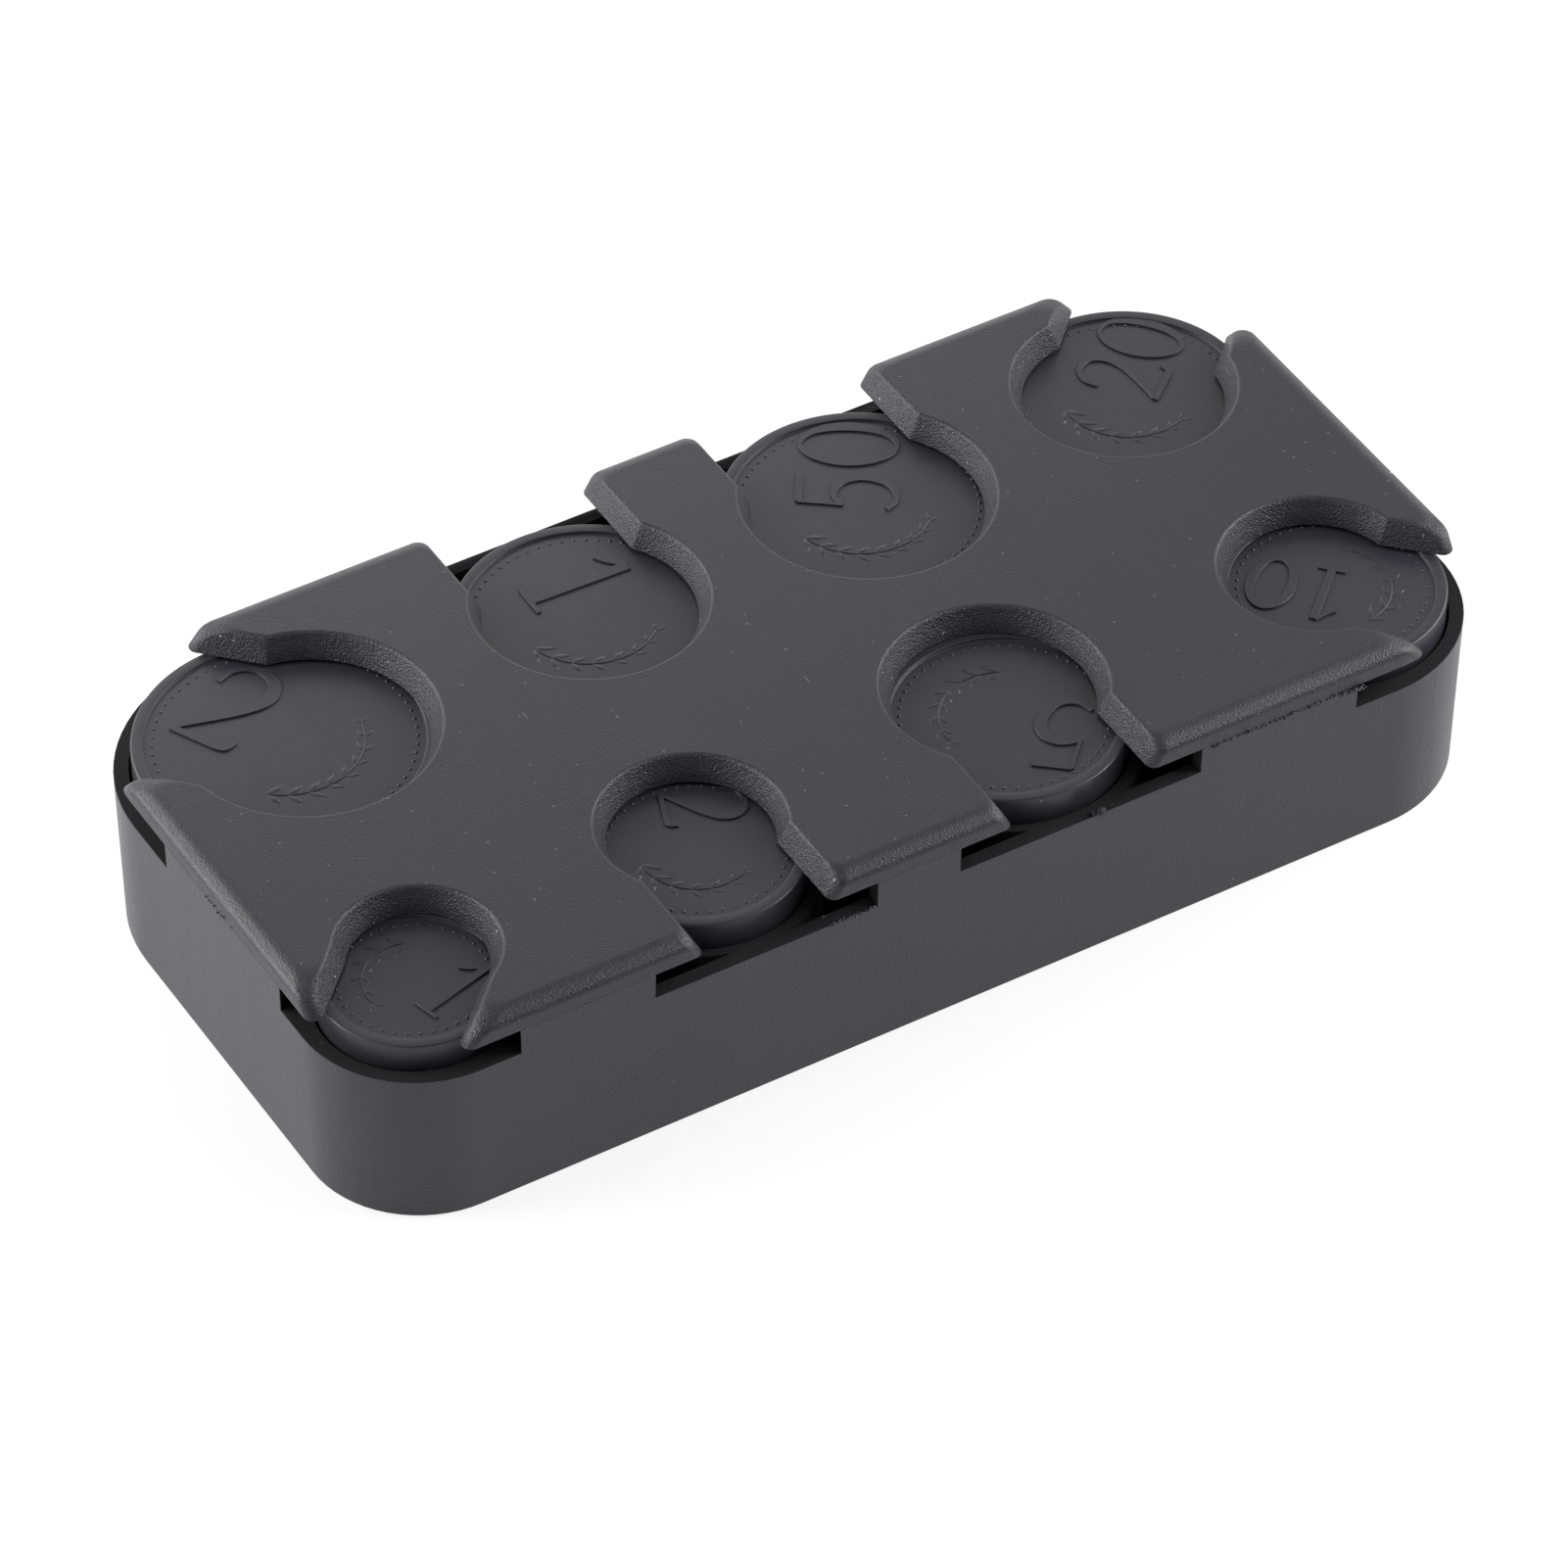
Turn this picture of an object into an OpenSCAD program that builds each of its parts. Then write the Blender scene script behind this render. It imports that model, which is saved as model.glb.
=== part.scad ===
// Spring-loaded coin holder with eight wells, one for each coin size.
// Millimetres. X runs along the case, Y towards its back, Z up. Origin: middle of the resting face.

/* [Case] */
// Length of the case at the seam under the cover
case_length = 112; // [110:0.5:126]
// Width of the case at the seam under the cover
case_width = 55; // [54:0.5:66]
// Height of the tray, from the resting face to the seam
tray_height = 18.2; // [16:0.1:26]
// How far each outer wall leans in from the seam to the resting face
wall_lean = 0.4; // [0.1:0.05:0.8]
// Thickness of the tray's outer wall
tray_wall = 1.3; // [1.2:0.05:1.6]
// Thickness of the tray's floor
floor_thickness = 1.6; // [1:0.1:3]
// Corner radius of the case beyond the radius of the coin in that corner
corner_margin = 2.5; // [2.2:0.1:3.5]

/* [Cover] */
// Thickness of the cover plate
cover_thickness = 2.2; // [1.6:0.1:3]
// Height of the bevel around the cover's outer edge
bevel_height = 0.6; // [0.3:0.05:1]
// Width of the bevel around the cover's outer edge
bevel_width = 0.8; // [0.3:0.05:1.2]
// How far the wall of a thumb opening slopes inwards from top to bottom
opening_slope = 1.15; // [0.4:0.05:1.5]

/* [Wells] */
// Gap between a plunger and its well, all round
well_play = 0.25; // [0.15:0.05:0.4]
// Thickness of the tube around a well
well_wall = 0.8; // [0.6:0.05:1]
// Height of a coin exit slot, below the cover
exit_height = 2.6; // [2:0.1:4]
// Room beside the well's tube in an exit slot, each side
exit_room = 0.1; // [0.05:0.05:0.4]
// Further room on each side of the exit slots that leave through a corner
corner_exit_room = 0.8; // [0.1:0.1:1.2]
// Distance that the 1 euro well stands back from the tray's wall
setback_1_euro = 0.95; // [0:0.05:2]
// Distance that the 2 cent well stands back from the tray's wall
setback_2_cent = 0.55; // [0:0.05:2]

/* [Lands between coins: a row shares out its free length in proportion to these] */
// Between the 2 euro and the 1 euro coin
land_2_euro = 5; // [2:0.05:6]
// Between the 1 euro and the 50 cent coin
land_1_euro = 3.45; // [2:0.05:6]
// Between the 50 cent and the 20 cent coin
land_20_cent = 4.4; // [2:0.05:6]
// Between the 1 cent and the 2 cent coin
land_1_cent = 10; // [2:0.05:14]
// Between the 2 cent and the 5 cent coin
land_2_cent = 10.35; // [2:0.05:14]
// Between the 5 cent and the 10 cent coin
land_10_cent = 12; // [2:0.05:14]

/* [Coin diameters] */
// 2 euro coin
coin_2_euro = 25.75; // [24.5:0.05:26.5]
// 1 euro coin
coin_1_euro = 23.25; // [22:0.05:24]
// 50 cent coin
coin_50_cent = 24.25; // [23:0.05:25]
// 20 cent coin
coin_20_cent = 22.25; // [21:0.05:23]
// 10 cent coin
coin_10_cent = 19.75; // [18.5:0.05:20.5]
// 5 cent coin
coin_5_cent = 21.25; // [20:0.05:22]
// 2 cent coin
coin_2_cent = 18.75; // [17.5:0.05:19.5]
// 1 cent coin
coin_1_cent = 16.25; // [15.5:0.05:17]

/* [Cover lip over each coin, at the top of the opening] */
// 2 euro opening
lip_2_euro = 1.5; // [0.6:0.05:2]
// 1 euro opening
lip_1_euro = 1.25; // [0.6:0.05:2]
// 50 cent opening
lip_50_cent = 0.9; // [0.6:0.05:2]
// 20 cent opening
lip_20_cent = 1.15; // [0.6:0.05:2]
// 10 cent opening
lip_10_cent = 1.3; // [0.6:0.05:2]
// 5 cent opening
lip_5_cent = 0.85; // [0.6:0.05:2]
// 2 cent opening
lip_2_cent = 1.2; // [0.6:0.05:2]
// 1 cent opening
lip_1_cent = 1.1; // [0.6:0.05:2]

/* [Shoulder where each opening narrows to its channel] */
// 2 euro opening
shoulder_2_euro = 1.9; // [0.1:0.05:3]
// 1 euro opening
shoulder_1_euro = 1.85; // [0.1:0.05:3]
// 50 cent opening
shoulder_50_cent = 2.05; // [0.1:0.05:3]
// 20 cent opening
shoulder_20_cent = 1.9; // [0.1:0.05:3]
// 10 cent opening
shoulder_10_cent = 1.4; // [0.1:0.05:3]
// 5 cent opening
shoulder_5_cent = 1.95; // [0.1:0.05:3]
// 2 cent opening
shoulder_2_cent = 1.1; // [0.1:0.05:3]
// 1 cent opening
shoulder_1_cent = 0.15; // [0.1:0.05:3]

/* [Distance that each opening sits inboard of its well] */
// 2 euro opening
inboard_2_euro = 2; // [0:0.05:2.5]
// 1 euro opening
inboard_1_euro = 0.3; // [0:0.05:2.5]
// 50 cent opening
inboard_50_cent = 1.2; // [0:0.05:2.5]
// 20 cent opening
inboard_20_cent = 1.3; // [0:0.05:2.5]
// 10 cent opening
inboard_10_cent = 1.4; // [0:0.05:2.5]
// 5 cent opening
inboard_5_cent = 1.7; // [0:0.05:2.5]
// 2 cent opening
inboard_2_cent = 0.8; // [0:0.05:2.5]
// 1 cent opening
inboard_1_cent = 1.4; // [0:0.05:2.5]

/* [Plungers] */
// Height of a plunger, rim to skirt
plunger_height = 6; // [4.5:0.1:8]
// Thickness of a plunger's top
plunger_top = 1.6; // [1:0.1:2.5]
// Thickness of a plunger's skirt
skirt_wall = 1; // [0.7:0.05:1.5]
// Width of the raised rim
rim_width = 1; // [0.7:0.05:1.5]
// Height of the raised rim above the coin face
rim_height = 0.25; // [0.1:0.05:0.5]
// Radius of the plunger's top edge
edge_radius = 0.45; // [0.2:0.05:0.6]
// Gap between the rim and the cover's underside
top_gap = 0.05; // [0.02:0.01:0.3]
// Gap left under the skirt when a plunger is pressed right down
bottom_gap = 0.4; // [0.2:0.1:1]

/* [Springs] */
// Outer diameter of a spring
spring_diameter = 9; // [7:0.1:10]
// Diameter of the spring wire
wire_diameter = 0.6; // [0.4:0.05:0.8]
// Number of turns
spring_turns = 6; // [4:1:7]
// Gap between the close turns at each end of a spring
close_gap = 0.5; // [0.45:0.05:0.6]
// Gap between a spring and the faces that it bears on
bearing_gap = 0.03; // [0.01:0.01:0.1]
// Gap between a spring and the spigots inside it
spigot_gap = 0.4; // [0.2:0.05:0.8]
// Height of the spigots that centre a spring
spigot_height = 1.6; // [0.8:0.1:2]
// Thickness of a spigot's wall
spigot_wall = 1; // [0.6:0.1:1.5]

/* [Cover posts] */
// Diameter of the posts that carry the cover
post_diameter = 5; // [4:0.1:6]
// Diameter of the pegs under the cover
peg_diameter = 2.4; // [1.6:0.1:2.8]
// Length of the pegs under the cover
peg_length = 3.5; // [2:0.1:6]
// Glue gap around a peg
peg_gap = 0.08; // [0.03:0.01:0.2]
// Glue room under the end of a peg
peg_end_room = 0.5; // [0.2:0.1:1]
// Distance of the posts behind the middle of the case
post_offset = -1.5; // [-3:0.1:0]
// Distance of the two end posts from the ends of the case
post_inset = 5; // [4.6:0.1:7]

/* [Hidden] */
$fn = 96;
// Overlap that makes a cut or a join clean
cut = 1;
join = 0.4;

cover_top = tray_height + cover_thickness;
exit_bottom = tray_height - exit_height;

// Rows of the slot table
TWO_EURO = 0;
ONE_EURO = 1;
FIFTY_CENT = 2;
TWENTY_CENT = 3;
TEN_CENT = 4;
FIVE_CENT = 5;
TWO_CENT = 6;
ONE_CENT = 7;

// Columns: coin diameter, lip, shoulder, inboard distance, angle of the way out
slots = [
    [coin_2_euro, lip_2_euro, shoulder_2_euro, inboard_2_euro, 135],
    [coin_1_euro, lip_1_euro, shoulder_1_euro, inboard_1_euro, 90],
    [coin_50_cent, lip_50_cent, shoulder_50_cent, inboard_50_cent, 90],
    [coin_20_cent, lip_20_cent, shoulder_20_cent, inboard_20_cent, 45],
    [coin_10_cent, lip_10_cent, shoulder_10_cent, inboard_10_cent, -45],
    [coin_5_cent, lip_5_cent, shoulder_5_cent, inboard_5_cent, -90],
    [coin_2_cent, lip_2_cent, shoulder_2_cent, inboard_2_cent, -90],
    [coin_1_cent, lip_1_cent, shoulder_1_cent, inboard_1_cent, -135]
];
all_slots = [for (i = [0 : len(slots) - 1]) i];

function coin_r(i) = slots[i][0] / 2;
function opening_r(i) = coin_r(i) - slots[i][1];
function channel_half(i) = opening_r(i) - slots[i][2];
function exit_angle(i) = slots[i][4];
function exit_way(i) = [cos(exit_angle(i)), sin(exit_angle(i))];
function in_corner(i) = exit_angle(i) % 90 != 0;

// Corners of the case, each rounded about the coin that sits in it
function corner_r(i) = coin_r(i) + corner_margin;
function corner_centre(i) = [
    sign(exit_way(i).x) * (case_length / 2 - corner_r(i)),
    sign(exit_way(i).y) * (case_width / 2 - corner_r(i))
];

// Well centres: a corner well touches the wall in its corner, the others stand along the long walls
function corner_well(i) = corner_centre(i) + exit_way(i) * (corner_margin - tray_wall - well_play);
function row_y(i, setback) =
    sign(exit_way(i).y) * (case_width / 2 - tray_wall - well_play - coin_r(i) - setback);
function beside(i, from, land) =
    corner_well(from).x - sign(corner_well(from).x) * (coin_r(from) + land + coin_r(i));

// Room for lands in a row of four coins, and the part of each named land that fits in it
function free_length(left, b, c, right) =
    corner_well(right).x - coin_r(right) - corner_well(left).x - coin_r(left) - 2 * coin_r(b) - 2 * coin_r(c);
back_share = free_length(TWO_EURO, ONE_EURO, FIFTY_CENT, TWENTY_CENT)
    / (land_2_euro + land_1_euro + land_20_cent);
front_share = free_length(ONE_CENT, TWO_CENT, FIVE_CENT, TEN_CENT)
    / (land_1_cent + land_2_cent + land_10_cent);

wells = [
    corner_well(TWO_EURO),
    [beside(ONE_EURO, TWO_EURO, land_2_euro * back_share), row_y(ONE_EURO, setback_1_euro)],
    [beside(FIFTY_CENT, TWENTY_CENT, land_20_cent * back_share), row_y(FIFTY_CENT, 0)],
    corner_well(TWENTY_CENT),
    corner_well(TEN_CENT),
    [beside(FIVE_CENT, TEN_CENT, land_10_cent * front_share), row_y(FIVE_CENT, 0)],
    [beside(TWO_CENT, ONE_CENT, land_1_cent * front_share), row_y(TWO_CENT, setback_2_cent)],
    corner_well(ONE_CENT)
];
function opening_centre(i) = wells[i] - exit_way(i) * slots[i][3];
function bore_r(i) = coin_r(i) + well_play;
function tube_r(i) = bore_r(i) + well_wall;
function exit_half(i) = tube_r(i) + exit_room + (in_corner(i) ? corner_exit_room : 0);

// Plungers stand just under the cover
rim_top = tray_height - top_gap;
plunger_under = rim_top - plunger_top;
plunger_foot = rim_top - plunger_height;
plunger_travel = plunger_foot - floor_thickness - bottom_gap;

// Springs
wire_r = wire_diameter / 2;
coil_r = spring_diameter / 2 - wire_r;
spigot_r = coil_r - wire_r - spigot_gap;
spring_low = floor_thickness + bearing_gap + wire_r;
spring_high = plunger_under - bearing_gap - wire_r;
close_pitch = wire_diameter + close_gap;
open_pitch = (spring_high - spring_low - 2 * close_pitch) / (spring_turns - 2);
RINGS_PER_TURN = 10;
WIRE_SIDES = 6;
ring_count = spring_turns * RINGS_PER_TURN;

// Height of the wire after a number of turns: one close turn at each end, open turns between
function wire_z(turns) =
    turns < 1 ? spring_low + close_pitch * turns :
    turns > spring_turns - 1 ? spring_high - close_pitch * (spring_turns - turns) :
    spring_low + close_pitch + open_pitch * (turns - 1);
function wire_point(k, radius, lift) = [
    radius * cos(360 * k / RINGS_PER_TURN),
    radius * sin(360 * k / RINGS_PER_TURN),
    wire_z(k / RINGS_PER_TURN) + lift
];
wire_centres = [for (k = [0 : ring_count]) wire_point(k, coil_r, 0)];
spring_least_gap = min([
    for (k = [0 : ring_count - RINGS_PER_TURN + 1])
        for (m = [k + RINGS_PER_TURN - 1 : min(k + RINGS_PER_TURN + 1, ring_count)])
            norm(wire_centres[m] - wire_centres[k]) - wire_diameter
]);
echo(spring_least_gap = spring_least_gap, plunger_travel = plunger_travel);

// Posts stand at the ends of the case and in the lands of the back row
function land_middle(a, b) = (wells[a].x + coin_r(a) + wells[b].x - coin_r(b)) / 2;
post_xs = [
    post_inset - case_length / 2,
    land_middle(TWO_EURO, ONE_EURO),
    land_middle(ONE_EURO, FIFTY_CENT),
    land_middle(FIFTY_CENT, TWENTY_CENT),
    case_length / 2 - post_inset
];

// How far the outer wall has leaned in at a height
function lean(z) = wall_lean * (1 - z / tray_height);

// Block with the case's outline, set in by one distance at its foot and another at its top
module case_block(low, high, inset_low, inset_high) {
    for (i = all_slots)
        if (in_corner(i))
            translate([corner_centre(i).x, corner_centre(i).y, low])
                cylinder(h = high - low, r1 = corner_r(i) - inset_low, r2 = corner_r(i) - inset_high);
    long_side(TWO_EURO, TWENTY_CENT, low, high, inset_low, inset_high);
    long_side(ONE_CENT, TEN_CENT, low, high, inset_low, inset_high);
    short_side(ONE_CENT, TWO_EURO, low, high, inset_low, inset_high);
    short_side(TEN_CENT, TWENTY_CENT, low, high, inset_low, inset_high);
}

// Leaning side of the block between two corners, out to the case's front or back
module long_side(left, right, low, high, inset_low, inset_high) {
    side = sign(exit_way(left).y);
    translate([corner_centre(left).x, 0, 0])
        rotate([90, 0, 90])
            linear_extrude(corner_centre(right).x - corner_centre(left).x)
                side_profile(side, case_width / 2, low, high, inset_low, inset_high);
}

// Leaning side of the block between two corners, out to one end of the case
module short_side(front, back, low, high, inset_low, inset_high) {
    side = sign(exit_way(front).x);
    translate([0, corner_centre(back).y, 0])
        rotate([90, 0, 0])
            linear_extrude(corner_centre(back).y - corner_centre(front).y)
                side_profile(side, case_length / 2, low, high, inset_low, inset_high);
}

module side_profile(side, half, low, high, inset_low, inset_high) {
    polygon([
        [0, low],
        [side * (half - inset_low), low],
        [side * (half - inset_high), high],
        [0, high]
    ]);
}

module at_well(i) {
    translate([wells[i].x, wells[i].y, 0])
        children();
}

module at_posts() {
    for (x = post_xs)
        translate([x, post_offset, 0])
            children();
}

// Way for the top coin, from the well's axis out through the wall
module exit_slot(i) {
    at_well(i)
        rotate(exit_angle(i))
            translate([0, -exit_half(i), exit_bottom])
                cube([case_length, 2 * exit_half(i), exit_height + cut]);
}

module base_tray() {
    color("dimgray")
    difference() {
        union() {
            difference() {
                case_block(0, tray_height, wall_lean, 0);
                case_block(
                    floor_thickness, tray_height + cut,
                    tray_wall + lean(floor_thickness), tray_wall + lean(tray_height + cut)
                );
            }
            for (i = all_slots)
                at_well(i)
                    translate([0, 0, floor_thickness - join])
                        cylinder(h = tray_height - floor_thickness + join, r = tube_r(i));
            at_posts()
                translate([0, 0, floor_thickness - join])
                    cylinder(h = tray_height - floor_thickness + join, d = post_diameter);
        }
        for (i = all_slots) {
            at_well(i)
                well_bore(i);
            exit_slot(i);
        }
        at_posts()
            translate([0, 0, tray_height - peg_length - peg_end_room])
                cylinder(h = peg_length + peg_end_room + cut, d = peg_diameter + 2 * peg_gap);
    }
}

// Hollow of a well, with the spring's spigot left standing on the floor
module well_bore(i) {
    difference() {
        translate([0, 0, floor_thickness])
            cylinder(h = tray_height - floor_thickness + cut, r = bore_r(i));
        translate([0, 0, floor_thickness - join])
            difference() {
                cylinder(h = spigot_height + join, r = spigot_r);
                cylinder(h = spigot_height + join + cut, r = spigot_r - spigot_wall);
            }
    }
}

// Keyhole thumb opening: a sloping round and a sloping channel out to the edge
module thumb_opening(i) {
    low = -join;
    high = cover_thickness + join;
    slope = opening_slope / cover_thickness;
    narrowing = slope * (cover_thickness - low);
    widening = slope * (high - cover_thickness);
    channel_low = channel_half(i) - narrowing;
    channel_high = channel_half(i) + widening;
    translate([opening_centre(i).x, opening_centre(i).y, tray_height])
        rotate(exit_angle(i)) {
            translate([0, 0, low])
                cylinder(h = high - low, r1 = opening_r(i) - narrowing, r2 = opening_r(i) + widening);
            rotate([90, 0, 90])
                linear_extrude(case_length / 2)
                    polygon([
                        [-channel_low, low], [channel_low, low],
                        [channel_high, high], [-channel_high, high]
                    ]);
        }
}

module cover_plate() {
    color("dimgray") {
        difference() {
            union() {
                case_block(tray_height, cover_top - bevel_height, 0, 0);
                case_block(cover_top - bevel_height, cover_top, 0, bevel_width);
            }
            for (i = all_slots)
                thumb_opening(i);
        }
        at_posts()
            translate([0, 0, tray_height - peg_length])
                cylinder(h = peg_length + join, d = peg_diameter);
    }
}

// Inverted cup with a raised rim, and a spigot for the spring inside
module plunger(i) {
    radius = coin_r(i);
    color("dimgray")
    at_well(i)
        rotate_extrude()
            difference() {
                union() {
                    translate([0, plunger_foot])
                        square([radius, plunger_height - edge_radius]);
                    translate([0, plunger_foot])
                        square([radius - edge_radius, plunger_height]);
                    intersection() {
                        translate([radius - edge_radius, rim_top - edge_radius])
                            circle(edge_radius);
                        translate([0, plunger_foot])
                            square([radius, plunger_height]);
                    }
                }
                translate([-cut, rim_top - rim_height])
                    square([radius - rim_width + cut, rim_height + cut]);
                plunger_hollow(radius);
            }
}

module plunger_hollow(radius) {
    difference() {
        translate([-cut, plunger_foot - cut])
            square([radius - skirt_wall + cut, plunger_height - plunger_top + cut]);
        translate([spigot_r - spigot_wall, plunger_under - spigot_height])
            square([spigot_wall, spigot_height + cut]);
    }
}

// One unbroken helical wire
module spring(i) {
    points = [
        for (k = [0 : ring_count])
            for (s = [0 : WIRE_SIDES - 1])
                wire_point(
                    k,
                    coil_r + wire_r * cos(360 * s / WIRE_SIDES),
                    wire_r * sin(360 * s / WIRE_SIDES)
                )
    ];
    function at(k, s) = k * WIRE_SIDES + s % WIRE_SIDES;
    sides = [
        for (k = [0 : ring_count - 1])
            for (s = [0 : WIRE_SIDES - 1])
                for (face = [
                    [at(k, s), at(k, s + 1), at(k + 1, s)],
                    [at(k, s + 1), at(k + 1, s + 1), at(k + 1, s)]
                ])
                    face
    ];
    caps = [
        for (s = [1 : WIRE_SIDES - 2])
            for (face = [
                [at(0, 0), at(0, s + 1), at(0, s)],
                [at(ring_count, 0), at(ring_count, s), at(ring_count, s + 1)]
            ])
                face
    ];
    color("silver")
    at_well(i)
        polyhedron(points, concat(sides, caps));
}

base_tray();
cover_plate();
plunger(TWO_EURO);  // plunger_2_euro
plunger(ONE_EURO);  // plunger_1_euro
plunger(FIFTY_CENT);  // plunger_50_cent
plunger(TWENTY_CENT);  // plunger_20_cent
plunger(TEN_CENT);  // plunger_10_cent
plunger(FIVE_CENT);  // plunger_5_cent
plunger(TWO_CENT);  // plunger_2_cent
plunger(ONE_CENT);  // plunger_1_cent
spring(TWO_EURO);  // spring_2_euro
spring(ONE_EURO);  // spring_1_euro
spring(FIFTY_CENT);  // spring_50_cent
spring(TWENTY_CENT);  // spring_20_cent
spring(TEN_CENT);  // spring_10_cent
spring(FIVE_CENT);  // spring_5_cent
spring(TWO_CENT);  // spring_2_cent
spring(ONE_CENT);  // spring_1_cent
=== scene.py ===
import math

import bmesh
import bpy
from mathutils import Matrix, Vector


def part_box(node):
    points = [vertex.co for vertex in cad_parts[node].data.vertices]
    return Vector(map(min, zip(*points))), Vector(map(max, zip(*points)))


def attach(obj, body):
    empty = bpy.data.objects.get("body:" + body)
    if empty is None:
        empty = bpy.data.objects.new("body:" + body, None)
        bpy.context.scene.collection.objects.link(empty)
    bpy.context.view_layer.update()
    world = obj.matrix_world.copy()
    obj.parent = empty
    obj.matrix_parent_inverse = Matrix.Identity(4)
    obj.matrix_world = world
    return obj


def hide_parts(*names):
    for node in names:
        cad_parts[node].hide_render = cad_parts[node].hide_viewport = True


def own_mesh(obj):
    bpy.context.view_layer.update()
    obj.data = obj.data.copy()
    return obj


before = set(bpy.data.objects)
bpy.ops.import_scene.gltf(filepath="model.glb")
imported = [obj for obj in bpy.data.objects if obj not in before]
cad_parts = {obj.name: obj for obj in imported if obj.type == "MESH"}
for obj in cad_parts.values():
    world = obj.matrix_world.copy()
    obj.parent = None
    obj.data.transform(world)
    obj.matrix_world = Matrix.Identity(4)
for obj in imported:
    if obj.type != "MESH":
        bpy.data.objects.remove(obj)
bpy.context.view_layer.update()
scene = bpy.context.scene
mm = 0.001
weldGap = 0.0005 * mm
fullTurn = 2 * math.pi
print("frame loaded:", len(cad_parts), "nodes")

# every coin well: the way out in degrees, then the lip, shoulder and inboard distance of its opening in mm,
# and the numeral on its cap
coins = {
    "1_cent": dict(out=-135, lip=1.1, shoulder=0.15, inboard=1.4,
                   digits="1", turn=-75, tall=7.0, place=(2.3, -2.7)),
    "2_cent": dict(out=-90, lip=1.2, shoulder=1.1, inboard=0.8,
                   digits="2", turn=-110, tall=7.2, place=(3.2, 4.2)),
    "5_cent": dict(out=-90, lip=0.85, shoulder=1.95, inboard=1.7,
                   digits="5", turn=140, tall=8.6, place=(2.9, -4.5)),
    "10_cent": dict(out=-45, lip=1.3, shoulder=1.4, inboard=1.4,
                    digits="10", turn=132, tall=6.8, place=(-2.6, 1.2)),
    "20_cent": dict(out=45, lip=1.15, shoulder=1.9, inboard=1.3,
                    digits="20", turn=40, tall=8.0, place=(3.0, 3.9)),
    "50_cent": dict(out=90, lip=0.9, shoulder=2.05, inboard=1.2,
                    digits="50", turn=57, tall=9.0, place=(1.6, 4.6)),
    "1_euro": dict(out=90, lip=1.25, shoulder=1.85, inboard=0.3,
                   digits="1", turn=-92, tall=9.8, place=(1.4, 4.3)),
    "2_euro": dict(out=135, lip=1.5, shoulder=1.9, inboard=2.0,
                   digits="2", turn=-62, tall=10.2, place=(-2.0, 6.2)),
}
for name, coin in coins.items():
    low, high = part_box("plunger_" + name)
    coin["centre"] = (low + high).to_2d() / 2
    coin["radius"] = (high.x - low.x) / 2
capLow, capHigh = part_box("plunger_2_euro")
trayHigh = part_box("base_tray")[1]
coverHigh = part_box("cover_plate")[1]
seamZ = trayHigh.z
topZ = coverHigh.z


# helpers for meshes
def pourMesh(bm, mesh):
    bm.to_mesh(mesh)
    bm.free()
    return mesh


def finishMesh(name, mesh, material, sharpAngle):
    obj = bpy.data.objects.new(name, mesh)
    scene.collection.objects.link(obj)
    mesh.materials.clear()
    mesh.materials.append(material)
    mesh.shade_smooth()
    mesh.set_sharp_from_angle(angle=math.radians(sharpAngle))
    weigh = obj.modifiers.new("flatFaces", "WEIGHTED_NORMAL")  # keeps broad faces flat beside soft edges
    weigh.keep_sharp = True
    return obj


# helpers for node trees
def setInput(tree, socket, value):  # wires an output to the socket, or sets a plain value on it
    if isinstance(value, bpy.types.NodeSocket):
        tree.links.new(value, socket)
    else:
        socket.default_value = value


def addNode(tree, kind, inputs=None, **settings):
    node = tree.nodes.new(kind)
    for key, value in settings.items():
        setattr(node, key, value)
    for key, value in (inputs or {}).items():
        setInput(tree, node.inputs[key], value)
    return node


def mathNode(tree, operation, *values):
    return addNode(tree, "ShaderNodeMath", dict(enumerate(values)), operation=operation).outputs[0]


def plus(tree, a, b):
    return mathNode(tree, "ADD", a, b)


def minus(tree, a, b):
    return mathNode(tree, "SUBTRACT", a, b)


def times(tree, a, b):
    return mathNode(tree, "MULTIPLY", a, b)


def noise(tree, vector, scale, detail, rough=0.5):
    return addNode(tree, "ShaderNodeTexNoise", {
        "Vector": vector, "Scale": scale, "Detail": detail, "Roughness": rough}).outputs["Fac"]


def spread(tree, value, low, high, toLow=0.0, toHigh=1.0):
    return addNode(tree, "ShaderNodeMapRange", {
        "Value": value, "From Min": low, "From Max": high,
        "To Min": toLow, "To Max": toHigh}).outputs["Result"]


def mixTones(tree, factor, first, second):  # a mix node keeps its colours on sockets 6 and 7
    return addNode(tree, "ShaderNodeMix", {0: factor, 6: first, 7: second}, data_type="RGBA").outputs[2]


def newMaterial(name):
    material = bpy.data.materials.new(name)
    material.use_nodes = True
    return material, material.node_tree


# shader groups: each reads a Vector and named values, and puts out values
grainNoise = dict(fineDetail=2.0, fineRough=0.6, coarseDetail=1.0)
speck = dict(least=0.35, contrast=2.0)
handling = dict(stretch=(9.0, 9.0, 1.0), cloudDetail=4.0, cloudRange=(0.3, 0.7),
                streakDetail=3.0, streakRange=(0.35, 0.65))


def shaderGroup(name, values, outputs):
    tree = bpy.data.node_groups.new(name, "ShaderNodeTree")
    tree.interface.new_socket("Vector", in_out="INPUT", socket_type="NodeSocketVector")
    for label, value in values.items():
        socket = tree.interface.new_socket(label, in_out="INPUT", socket_type="NodeSocketFloat")
        socket.default_value = value
    for label in outputs:
        tree.interface.new_socket(label, in_out="OUTPUT", socket_type="NodeSocketFloat")
    return tree, tree.nodes.new("NodeGroupInput").outputs, tree.nodes.new("NodeGroupOutput").inputs


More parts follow.
